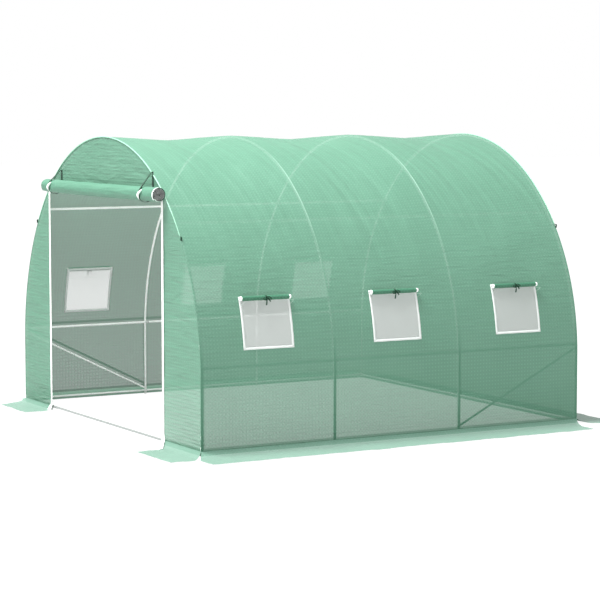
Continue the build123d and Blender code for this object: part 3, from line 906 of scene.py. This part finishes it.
STRAP_WIDTH, STRAP_SHEET = 0.020, 0.0016
STRAP_WAVER = 0.002
LOOP_RADIUS = 0.0035  # the strap's turn where it is sewn to the wall
LOOP_STEP = 0.0052  # the turn's middle stands this far off the wall
STRAP_GAP, STRAP_DROP = 0.0022, 0.002  # the webbing's middle round the roll, and its sag below it
TAIL_WIDTH, TAIL_SHEET, TAIL_POINTS = 0.016, 0.0024, 14
TAIL_GAP, TAIL_LAYER, TAIL_BOW = 0.0035, 0.003, 0.006  # off the webbing, between layers, and the tail's bow
TAIL_START, TAIL_DRIFT = 0.044, 0.052  # how far right a tail starts, and how far it drifts left
TAIL_LAYERS = ((0, 150, 216), (1, 156, 200))  # which layer, and the degrees round the roll it covers
TAIL_NARROW = 0.55  # a tail's width where it starts, as a share of the whole
strap_reach = ROLL_RADIUS + STRAP_GAP


def strap_loop(strap_x, strap_top):
    """Path of a door strap: round the roll and up to where it is sewn to the wall."""
    loop_y = -WALL_Y - LOOP_STEP
    dy, dz = loop_y - roll_y, strap_top - ROLL_HEIGHT
    lean = atan2(dz, dy)
    spread = acos((strap_reach - LOOP_RADIUS) / sqrt(dy * dy + dz * dz))
    front, back = lean + spread, lean - spread
    path = []
    for a in np.linspace(front, back + 2 * pi, 40):
        height = ROLL_HEIGHT - STRAP_DROP + strap_reach * sin(a)
        path.append((strap_x, roll_y + strap_reach * cos(a), height))
    for a in np.linspace(back, front, 10):
        path.append((strap_x, loop_y + LOOP_RADIUS * cos(a), strap_top + LOOP_RADIUS * sin(a)))
    path.append(path[0])
    path = np.array(path)
    path[:, 0] += STRAP_WAVER * np.sin(np.linspace(0, 9, len(path)))
    return path


def strap_tail(strap_x, layer, begin, end):
    """A layer of the white tape tail that hangs from a strap down the front of the roll."""
    tail = []
    for t in np.linspace(0, 1, TAIL_POINTS):
        a = radians(begin + (end - begin) * t)
        reach = strap_reach + TAIL_GAP + TAIL_LAYER * layer + TAIL_BOW * sin(pi * t)
        x = strap_x + TAIL_START - TAIL_DRIFT * t
        tail.append((x, roll_y + reach * cos(a), ROLL_HEIGHT + reach * sin(a)))
    narrow = TAIL_NARROW + (1 - TAIL_NARROW) * smoothstep(0.0, 0.45, np.linspace(0, 1, TAIL_POINTS))
    return ribbon(tail, (1, 0, -0.4), TAIL_WIDTH, TAIL_SHEET, taper=narrow)


straps = [ribbon(strap_loop(*strap), (1, 0, 0), STRAP_WIDTH, STRAP_SHEET) for strap in STRAPS]
tails = [strap_tail(x, *layer) for x, _ in STRAPS for layer in TAIL_LAYERS]
place(join_shapes("door_strap_webbing", straps, green_webbing), "strap_webbing", "door_straps")
place(join_shapes("door_strap_tails", tails, white_tape), "strap_webbing")

# Zip tapes on the doorway's two edges, down over the slanting edge of the ground flaps
ZIP_TAPE, ZIP_SHEET = 0.026, 0.0014
ZIP_LAP = 0.006  # how far the tape reaches over the doorway
ZIP_CORNER, ZIP_FOOT = 0.042, 0.060  # the tape bends outwards between these heights
ZIP_EDGES = (  # the doorway's edge, its side, and where the tape ends on the ground
    (DOOR_RIGHT, 1, (1.103, -1.612, 0.008)),
    (DOOR_LEFT, -1, (-0.950, -1.545, 0.012)),
)
tape_y = -WALL_Y - 0.0035
zip_shapes, tooth_paths = [], []
for edge, side, end in ZIP_EDGES:
    x = edge + side * (ZIP_TAPE / 2 - ZIP_LAP)
    path = [(x, tape_y, z) for z in np.linspace(ROLL_HEIGHT - 0.035, ZIP_FOOT, 60)]
    ways = [(1.0, 0.0, 0.0)] * len(path)
    corner = np.array((x, tape_y, ZIP_CORNER))
    tip = np.array(end)
    across_tip = np.cross((0, 0, 1), tip - corner)
    across_tip /= np.linalg.norm(across_tip)
    if across_tip[0] < 0:
        across_tip = -across_tip
    for t in np.linspace(0.08, 1, 12):
        p = corner + (tip - corner) * t
        p[2] = corner[2] * (1 - t) ** 1.6 + tip[2]
        path.append(tuple(p))
        blend = min(1.0, 2 * t)
        ways.append(tuple(np.array((1.0, 0, 0)) * (1 - blend) + across_tip * blend))
    zip_shapes.append(ribbon(path, ways, ZIP_TAPE, ZIP_SHEET))
    tooth_x = x - side * (ZIP_TAPE / 2 - 0.003)
    tooth_paths.append([(tooth_x, tape_y - 0.0012, z) for z in np.linspace(ROLL_HEIGHT - 0.04, 0.065, 90)])
place(join_shapes("doorway_zip_tapes", zip_shapes, white_tape), "window_net")

# Piping sewn along both edges of the cover, from one corner strap over the top to the other. Its pale tone is
# a painted highlight along the lit arch edge
PIPING_END = radians(35.0)
PIPING_THIN, PIPING_SWELL = 0.0028, 0.0014
TAB_WIDTH, TAB_SHEET = 0.012, 0.002
piping_shapes, corner_shapes = [], []
for end in (-1, 1):
    path, radii = [], []
    for a in np.linspace(PIPING_END, pi - PIPING_END, 120):
        x, z, _, _ = on_arch(a, COVER - 0.001)
        path.append((x, end * (WALL_Y + 0.0005), z))
        near_end = min(a, pi - a) - PIPING_END
        radii.append(PIPING_THIN + PIPING_SWELL * smoothstep(0.03, 0.30, near_end))
    piping_shapes.append(round_bar(path, radii))
    for side, _ in SIDES:
        tab = []
        for t in np.linspace(0, 1, 7):
            a = PIPING_END + (0.006 - 0.030 * t) / SIDE_BEND
            x, z, _, _ = on_arch(a, COVER + 0.003 + 0.012 * sin(pi * min(1.0, 1.2 * t)))
            tab.append((side * x, end * (WALL_Y + 0.001), z))
        corner_shapes.append(ribbon(tab, (0, 1, 0), TAB_WIDTH, TAB_SHEET))
place(join_shapes("cover_edge_piping", piping_shapes, painted_highlight_piping), "cover_sheet")
place(join_shapes("corner_strap_ends", corner_shapes, green_webbing), "strap_webbing")

# Windows
NET_OFFSET = COVER + 0.0008
NET_CELLS = 26
NET_HOLLOW = -0.003
TAPE_INNER, TAPE_OUTER = 0.009, 0.007  # the tape's reach each way from the window's edge
TAPE_SHEET = 0.0012
TAPE_POINTS = 24
TAPE_WANDER = 0.0014
STITCH_LINE, STITCH_POINTS = 0.004, 30


def bent_patch(side, y_low, y_high, a_low, a_high, offset, cells, bulge):
    """Points and uv of a patch that follows the side bend."""
    points, uv = [], []
    for i in range(cells + 1):
        a = a_low + (a_high - a_low) * i / cells
        for j in range(cells + 1):
            y = y_low + (y_high - y_low) * j / cells
            swell = bulge * sin(pi * i / cells) * sin(pi * j / cells)
            x, z, _, _ = on_arch(a, offset + swell)
            points.append((side * x, y, z))
            uv.append((y, a * SIDE_BEND))
    return points, uv


def window_ring(centre, grow, count, bend):
    """A line round a window, so far outside its edge: (angle, place along the tunnel)."""
    y_low, y_high = centre - WINDOW_HALF - grow, centre + WINDOW_HALF + grow
    a_low, a_high = low_angle - grow / bend, high_angle + grow / bend
    corners = ((a_low, y_low), (a_low, y_high), (a_high, y_high), (a_high, y_low))
    ring = []
    for (a, y), (next_a, next_y) in zip(corners, corners[1:] + corners[:1]):
        ring += [(a + (next_a - a) * k / count, y + (next_y - y) * k / count) for k in range(count)]
    return ring


def window_net(prefix, side, centre):
    """The net, slightly hollow between its tapes."""
    points, uv = bent_patch(
        side, centre - WINDOW_HALF, centre + WINDOW_HALF, low_angle, high_angle, NET_OFFSET - 0.001,
        NET_CELLS, NET_HOLLOW,
    )
    faces = grid_faces(NET_CELLS + 1, NET_CELLS + 1, flip=side < 0)
    net = link_mesh(f"{prefix}_net", points, faces, net_cloth, uv)
    place(net, "window_net", f"{prefix}_window_net")


def window_tape(prefix, side, centre, seed):
    """The tape: a frame of four strips round the net, outside and inside."""
    bend = SIDE_BEND + NET_OFFSET
    rings = [window_ring(centre, grow, TAPE_POINTS, bend) for grow in (-TAPE_INNER, TAPE_OUTER)]
    points, uv, faces = [], [], []
    for offset, outside in ((NET_OFFSET + 0.0012, True), (COVER - 0.0022, False)):
        flip = (side > 0) == outside
        faces += grid_faces(2, len(rings[0]), start=len(points), wrap=True, flip=flip)
        for a, y in rings[0] + rings[1]:
            wander = TAPE_WANDER * noise.noise(Vector((a * 40, y * 18, seed)))
            x, z, _, _ = on_arch(a + wander / bend, offset)
            points.append((side * x, y + wander, z))
            uv.append((y, a * SIDE_BEND))
    tape = link_mesh(f"{prefix}_net_tape", points, faces, net_tape, uv)
    thicken(tape, TAPE_SHEET)
    place(tape, "window_net")


FLAP_TURNS, FLAP_STEPS = 2.5, 20
FLAP_RADIUS, FLAP_PITCH, FLAP_SHEET = 0.0162, 0.0034, 0.0016
FLAP_HALF = 0.191
FLAP_TAPE, FLAP_BARE = 0.014, 0.017  # the white edge at each end, and where the plain film starts
FLAP_TAPE_LINES, FLAP_LINES = 5, 24
TIE_AT = 0.004  # the tie's place from the window's middle
TIE_WAIST = 0.16
TIE_WIDTH, TIE_SHEET = 0.010, 0.0014
BOW_WIDTH, BOW_SHEET, BOW_REACH = 0.008, 0.0016, 0.015


def flap_roll(prefix, side, centre, seed, roll):
    """The flap rolled up over the window's top, with its white edges at both ends and drawn in by its tie."""
    cx, cz, _, _ = roll
    section = roll_section(FLAP_TURNS, FLAP_RADIUS, FLAP_PITCH, FLAP_STEPS)
    lines = np.concatenate(
        (np.linspace(-FLAP_HALF, -FLAP_HALF + FLAP_TAPE, FLAP_TAPE_LINES),
         np.linspace(-FLAP_HALF + FLAP_BARE, FLAP_HALF - FLAP_BARE, FLAP_LINES),
         np.linspace(FLAP_HALF - FLAP_TAPE, FLAP_HALF, FLAP_TAPE_LINES))
    )
    points, uv = [], []
    for y in lines:
        waist = 1 - TIE_WAIST * np.exp(-((y - TIE_AT) / 0.008) ** 2)
        rounding = 1 - 0.16 * smoothstep(0.009, 0.0, FLAP_HALF - abs(y))
        for du, dv, s in section:
            a = atan2(dv, du)
            lump = 1 + 0.05 * noise.noise(Vector((y * 14 + seed, cos(a), sin(a))))
            scale = waist * rounding * lump
            points.append((side * (cx + du * scale), centre + y, cz + dv * scale))
            uv.append((y, s))
    faces = grid_faces(len(lines), len(section), flip=side > 0)
    piece = link_mesh(f"{prefix}_flap_roll", points, faces, window_film, uv)
    piece.data.materials.append(white_tape)
    per_row = len(section) - 1
    for index, polygon in enumerate(piece.data.polygons):
        row = index // per_row
        if row < FLAP_TAPE_LINES - 1 or row >= len(lines) - FLAP_TAPE_LINES:
            polygon.material_index = 1
    thicken(piece, FLAP_SHEET)
    place(piece, "window_flap", f"{prefix}_window_roll")


def flap_tie(prefix, side, centre, roll):
    """A webbing tie round the roll, with a bow in front, one long tail and one short slanting one."""
    cx, cz, nx, nz = roll

    def beside(along, out, up):
        """A point near the roll: along the tunnel, out from the wall, up the wall."""
        return (side * (cx + out * nx - up * nz), centre + along, cz + out * nz + up * nx)

    grip = FLAP_RADIUS * 0.95 + 0.0015
    turn = [beside(TIE_AT, grip * cos(t), grip * sin(t)) for t in np.linspace(0, 2 * pi, 25)]
    shapes = [ribbon(turn, (0, 1, 0), TIE_WIDTH, TIE_SHEET)]
    for way in (-1, 1):
        loop = []
        for t in np.linspace(0, 2 * pi, 17):
            reach = BOW_REACH * (1 - cos(t))
            out = grip + 0.004 + 0.003 * sin(t / 2)
            loop.append(beside(TIE_AT + way * reach, out, -0.4 * reach + 0.008 * sin(t)))
        shapes.append(ribbon(loop, (side * nx, 0, nz), BOW_WIDTH, BOW_SHEET))
    long_tail, short_tail = [], []
    for t in np.linspace(0, 1, 9):
        long_tail.append(beside(0.003 - 0.004 * t, grip * (1 - 0.85 * t**2) + 0.003, -0.052 * t))
    for t in np.linspace(0, 1, 7):
        short_tail.append(beside(TIE_AT + 0.026 * t, grip * (1 - 0.5 * t**2) + 0.004, -0.030 * t))
    shapes.append(ribbon(long_tail, (0, 1, 0), TIE_WIDTH, TIE_SHEET))
    shapes.append(ribbon(short_tail, (0, 1, 0.4), TIE_WIDTH, TIE_SHEET))
    knot = [beside(TIE_AT + 0.007 * t, grip + 0.004, 0) for t in (-1, -0.6, 0, 0.6, 1)]
    shapes.append(round_bar(knot, (0.002, 0.0055, 0.007, 0.0055, 0.002)))
    place(join_shapes(f"{prefix}_flap_tie", shapes, green_webbing), "strap_webbing")


def stitch_path(side, centre):
    """The line of a window's stitches. Its heights are taken from the outward direction and not from the
    wall, so it stands off the tape: a slip in the shape."""
    bend = SIDE_BEND + NET_OFFSET
    y_low, y_high = centre - WINDOW_HALF - STITCH_LINE, centre + WINDOW_HALF + STITCH_LINE
    a_low, a_high = low_angle - STITCH_LINE / bend, high_angle + STITCH_LINE / bend
    ring = [(a_low, y) for y in np.linspace(y_low, y_high, STITCH_POINTS)]
    ring += [(a, y_high) for a in np.linspace(a_low, a_high, STITCH_POINTS)]
    ring += [(a_high, y) for y in np.linspace(y_high, y_low, STITCH_POINTS)]
    ring += [(a, y_low) for a in np.linspace(a_high, a_low, STITCH_POINTS)]
    path = []
    for a, y in ring:
        x, _, outward_x, _ = on_arch(a, NET_OFFSET + 0.0020)
        path.append((side * x, y, outward_x))
    return path


stitch_paths = []
for side, side_name in SIDES:
    for bay_name, centre in zip(BAYS, window_centres):
        prefix = f"{side_name}_{bay_name}"
        seed = centre * 3 + side
        roll = on_arch(high_angle - 0.007, NET_OFFSET + 0.0025 + FLAP_RADIUS)
        window_net(prefix, side, centre)
        window_tape(prefix, side, centre, seed)
        flap_roll(prefix, side, centre, seed, roll)
        flap_tie(prefix, side, centre, roll)
        stitch_paths.append(stitch_path(side, centre))


# What repeats: stitches, zip teeth, clamps and bolts, by Geometry Nodes
def new_tree(name, inputs):
    """A geometry tree with named inputs: (name, socket type, default)."""
    tree = bpy.data.node_groups.new(name, "GeometryNodeTree")
    tree.interface.new_socket("Geometry", in_out="INPUT", socket_type="NodeSocketGeometry")
    for label, kind, default in inputs:
        socket = tree.interface.new_socket(label, in_out="INPUT", socket_type=kind)
        socket.default_value = default
    tree.interface.new_socket("Geometry", in_out="OUTPUT", socket_type="NodeSocketGeometry")
    return tree, tree.nodes.new("NodeGroupInput").outputs


def finish_tree(tree, shapes, material):
    """Ends a tree in real geometry with its finish."""
    real = add(tree, "GeometryNodeRealizeInstances", shapes)
    dressed = add(tree, "GeometryNodeSetMaterial", real, Material=material)
    add(tree, "NodeGroupOutput", dressed)


def grown(piece, tree, values):
    """Runs a tree on a piece with its inputs set by name, and keeps the result as a plain mesh."""
    modifier = piece.modifiers.new("grow", "NODES")
    modifier.node_group = tree
    for item in tree.interface.items_tree:
        if item.in_out == "INPUT" and item.name in values:
            modifier[item.identifier] = values[item.name]
    bpy.context.view_layer.update()
    return as_plain_mesh(piece)


def blocks_along(name, paths, material, **sizes):
    """Small blocks along paths, turned with them. The sizes are Pitch, Length, Width and Height."""
    tree, given = new_tree(f"{name}_tree", [(label, "NodeSocketFloat", 0.01) for label in sizes])
    curve = add(tree, "GeometryNodeMeshToCurve", given["Geometry"])
    even = add(tree, "GeometryNodeResampleCurve", curve, mode="LENGTH", Length=given["Pitch"])
    dots = add(tree, "GeometryNodeCurveToPoints", even, mode="EVALUATED")
    size = add(tree, "ShaderNodeCombineXYZ", given["Width"], given["Height"], given["Length"])
    block = add(tree, "GeometryNodeMeshCube", size)
    many = add(
        tree, "GeometryNodeInstanceOnPoints", dots, Instance=block, Rotation=dots.outputs["Rotation"]
    )
    finish_tree(tree, many, material)
    points, edges = [], []
    for path in paths:
        edges += [(len(points) + k, len(points) + k + 1) for k in range(len(path) - 1)]
        points += [tuple(p) for p in path]
    mesh = bpy.data.meshes.new(name)
    mesh.from_pydata(points, edges, [])
    return grown(link_object(name, mesh), tree, sizes)


def drums_at(name, places, radius, length, sides, material):
    """Short cylinders at places, each along its own direction: places are (point, direction)."""
    inputs = [("Radius", "NodeSocketFloat", 0.01), ("Length", "NodeSocketFloat", 0.02)]
    tree, given = new_tree(f"{name}_tree", inputs + [("Sides", "NodeSocketInt", 12)])
    aim = add(tree, "GeometryNodeInputNamedAttribute", data_type="FLOAT_VECTOR", Name="aim")
    turned = add(tree, "FunctionNodeAlignRotationToVector", axis="Z", Vector=aim)
    drum = add(
        tree, "GeometryNodeMeshCylinder",
        Vertices=given["Sides"], Radius=given["Radius"], Depth=given["Length"],
    )
    many = add(tree, "GeometryNodeInstanceOnPoints", given["Geometry"], Instance=drum, Rotation=turned)
    finish_tree(tree, many, material)
    mesh = bpy.data.meshes.new(name)
    mesh.from_pydata([tuple(point) for point, _ in places], [], [])
    held = mesh.attributes.new("aim", "FLOAT_VECTOR", "POINT")
    held.data.foreach_set("vector", np.array([way for _, way in places], np.float32).ravel())
    return grown(link_object(name, mesh), tree, {"Radius": radius, "Length": length, "Sides": sides})


stitches = blocks_along(
    "window_tape_stitches", stitch_paths, thread, Pitch=0.009, Length=0.006, Width=0.0012, Height=0.0012
)
teeth = blocks_along(
    "doorway_zip_teeth", tooth_paths, white_plastic, Pitch=0.006, Length=0.004, Width=0.005, Height=0.0022
)
place(stitches, "window_net")
place(teeth, "window_net")

# Rail clamps and bolt heads stand inside each hoop, where a mid rail or a purlin crosses it
CLAMP_LENGTH, CLAMP_RADIUS, CLAMP_STEP = 0.012, TUBE + 0.0012, TUBE + 0.008
BOLT_LENGTH, BOLT_RADIUS, BOLT_STEP = 0.005, 0.0050, TUBE + 0.003
hoop_lines = [-FRAME_LENGTH / 2 + index * BAY for index in range(len(BAYS) + 1)]
rail_reach = SIDE_BEND - 2 * TUBE - 0.0003
rail_angles = (asin((MID_RAIL_HEIGHT - LEG) / rail_reach), PURLIN_ANGLE)
clamps, bolts = [], []
for side, _ in SIDES:
    for a in rail_angles:
        x, z = side_x + rail_reach * cos(a), LEG + rail_reach * sin(a)
        bolt_x, bolt_z = x - BOLT_STEP * cos(a), z - BOLT_STEP * sin(a)
        for y in hoop_lines:
            into_bay = 1 if y < 0 else -1
            clamps.append(((side * x, y + into_bay * CLAMP_STEP, z), (0.0, 1.0, 0.0)))
            bolts.append(((side * bolt_x, y, bolt_z), (-side * cos(a), 0.0, -sin(a))))
place(drums_at("rail_clamps", clamps, CLAMP_RADIUS, CLAMP_LENGTH, 16, zinc), "frame_tube")
place(drums_at("rail_bolt_heads", bolts, BOLT_RADIUS, BOLT_LENGTH, 6, zinc), "frame_tube")

# Moulded sleeves join the legs and base rails, and dark bands end the sill
SLEEVE_LENGTH, SLEEVE_RADIUS, SLEEVE_STEP, SLEEVE_HEIGHT = 0.050, TUBE + 0.0015, 0.040, 0.036
BAND_LENGTH, BAND_RADIUS, BAND_STEP = 0.024, TUBE + 0.0014, 0.020
sleeves = []
for side, _ in SIDES:
    for y in hoop_lines:
        sleeves.append(((side * HALF_WIDTH, y, SLEEVE_HEIGHT), (0.0, 0.0, 1.0)))
    for end in (-1, 1):
        y = end * FRAME_LENGTH / 2
        sleeves.append(((side * (HALF_WIDTH - SLEEVE_STEP), y, BASE_RAIL_HEIGHT), (1.0, 0.0, 0.0)))
        sleeves.append(((side * HALF_WIDTH, y - end * SLEEVE_STEP, BASE_RAIL_HEIGHT), (0.0, 1.0, 0.0)))
bands = []
for x in (DOOR_LEFT - BAND_STEP, DOOR_RIGHT + BAND_STEP):
    bands.append(((x, -FRAME_LENGTH / 2, BASE_RAIL_HEIGHT), (1.0, 0.0, 0.0)))
place(drums_at("corner_sleeves", sleeves, SLEEVE_RADIUS, SLEEVE_LENGTH, 16, white_plastic), "frame_tube")
place(drums_at("sill_end_bands", bands, BAND_RADIUS, BAND_LENGTH, 16, dark_plastic), "frame_tube")

# Camera, solved from the photo's rails, legs, arches and ground flaps
CAMERA = (13.91397533370965, -7.777799011326553, 2.2891833063632706)
AZIMUTH, DOWN = 1.0572419054814641, 0.09082332765897272
SENSOR = 36.0  # millimetres
PHOTO_WIDTH, FOCAL_PIXELS = 600, 2164.972144911375
camera_data = bpy.data.cameras.new("photo_camera")
camera = link_object("photo_camera", camera_data)
camera.location = CAMERA
ahead = Vector((-sin(AZIMUTH) * cos(DOWN), cos(AZIMUTH) * cos(DOWN), -sin(DOWN)))
camera.rotation_mode = "QUATERNION"
camera.rotation_quaternion = ahead.to_track_quat("-Z", "Y")
camera_data.lens = FOCAL_PIXELS / PHOTO_WIDTH * SENSOR
camera_data.sensor_width = SENSOR
camera_data.clip_end = 200
bpy.context.scene.camera = camera
bpy.context.scene.view_settings.view_transform = "Standard"

# Floor and light
WHITE = (1, 1, 1, 1)
FLOOR_GREY = (0.70, 0.70, 0.70, 1)
FLOOR_REACH, FLOOR_LEVEL = 60, -0.001
BACKDROP_SHARE = 0.85  # how far the floor is seen as the even white backdrop, not shaded
BACKDROP_LIGHT = 1.12
SKY_LIGHT, SKY_SEEN = 0.90, 1.0  # what lights the object, and the white backdrop that is seen
floor_material, tree = blank("pale studio floor")
seen = add(tree, "ShaderNodeLightPath").outputs["Is Camera Ray"]
lift = add(tree, MATH, seen, BACKDROP_SHARE, operation="MULTIPLY")
floor_skin = add(tree, "ShaderNodeBsdfDiffuse", FLOOR_GREY)
backdrop = add(tree, "ShaderNodeEmission", WHITE, BACKDROP_LIGHT)
add(tree, OUTPUT, add(tree, BLEND, lift, floor_skin, backdrop))
corners = [(x * FLOOR_REACH, y * FLOOR_REACH, FLOOR_LEVEL) for x, y in ((-1, -1), (1, -1), (1, 1), (-1, 1))]
floor = link_mesh("studio_floor", corners, [(0, 1, 2, 3)], floor_material)

world = bpy.data.worlds.new("studio")
bpy.context.scene.world = world
world.use_nodes = True
sky = world.node_tree
sky.nodes.clear()
seen = add(sky, "ShaderNodeLightPath").outputs["Is Camera Ray"]
strength = add(sky, RANGE, seen, To_Min=SKY_LIGHT, To_Max=SKY_SEEN)
add(sky, "ShaderNodeOutputWorld", add(sky, "ShaderNodeBackground", WHITE, strength))


def soft_lamp(name, location, target, size, power):
    """A round soft lamp that looks at a target."""
    data = bpy.data.lights.new(name, "AREA")
    data.shape = "DISK"
    data.size = size
    data.energy = power
    light = link_object(name, data)
    light.location = location
    light.rotation_mode = "QUATERNION"
    light.rotation_quaternion = (Vector(target) - Vector(location)).to_track_quat("-Z", "Y")


soft_lamp("key", (0.4, -5.4, 12.6), (0, 0, 0.8), 6.0, 4500)
soft_lamp("fill", (7.5, 2.5, 5.5), (0.8, 0.2, 0.8), 5.0, 60)
inside_data = bpy.data.lights.new("inside", "POINT")
inside_data.energy = 15
inside_data.shadow_soft_size = 0.25
link_object("inside", inside_data).location = (0.1, 0.0, 1.05)
